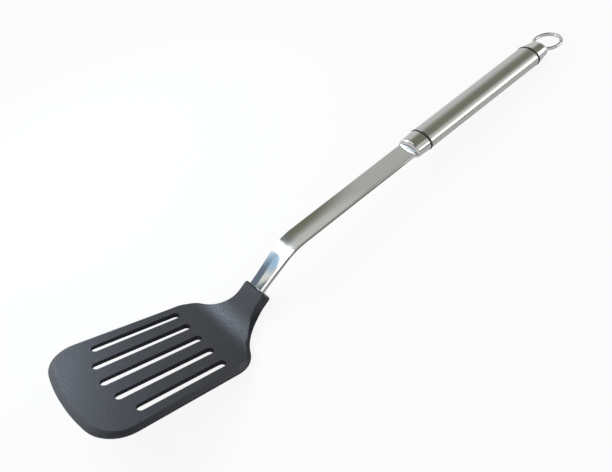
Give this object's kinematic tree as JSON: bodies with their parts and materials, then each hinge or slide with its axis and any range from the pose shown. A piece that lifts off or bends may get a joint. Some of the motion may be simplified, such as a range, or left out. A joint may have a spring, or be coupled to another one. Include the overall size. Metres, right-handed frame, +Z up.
{
  "type": "slotted offset spatula",
  "caption": "Offset spatula with a slotted nylon blade, a cranked steel shank, and a hollow oval steel grip that ends in a wire hanging loop.",
  "frame": {"origin": "on the surface that the spatula lies on, under the middle of its length and width", "axes": "+Z up, +X along the spatula from the blade to the hanging loop, +Y to the left seen from the grip towards the blade's back"},
  "size_m": [0.3589, 0.0708, 0.0367],
  "materials": {
    "nylon": "moulded nylon with a fine matte grain",
    "strip_steel": "stainless strip, mirror polished on the neck and satin brushed behind the bend",
    "tube_steel": "satin brushed stainless tube",
    "polished_steel": "polished stainless steel",
    "ring_rubber": "black rubber",
    "plug_plastic": "moulded black plastic"
  },
  "bodies": {
    "root": {"head": "nylon", "shank": "strip_steel", "front_ferrule": "polished_steel", "front_ring": "ring_rubber", "front_plug": "plug_plastic", "grip_tube": "tube_steel", "rear_plug": "plug_plastic", "rear_ring": "ring_rubber", "end_cap": "polished_steel", "hang_loop": "polished_steel"}
  },
  "joints": []
}
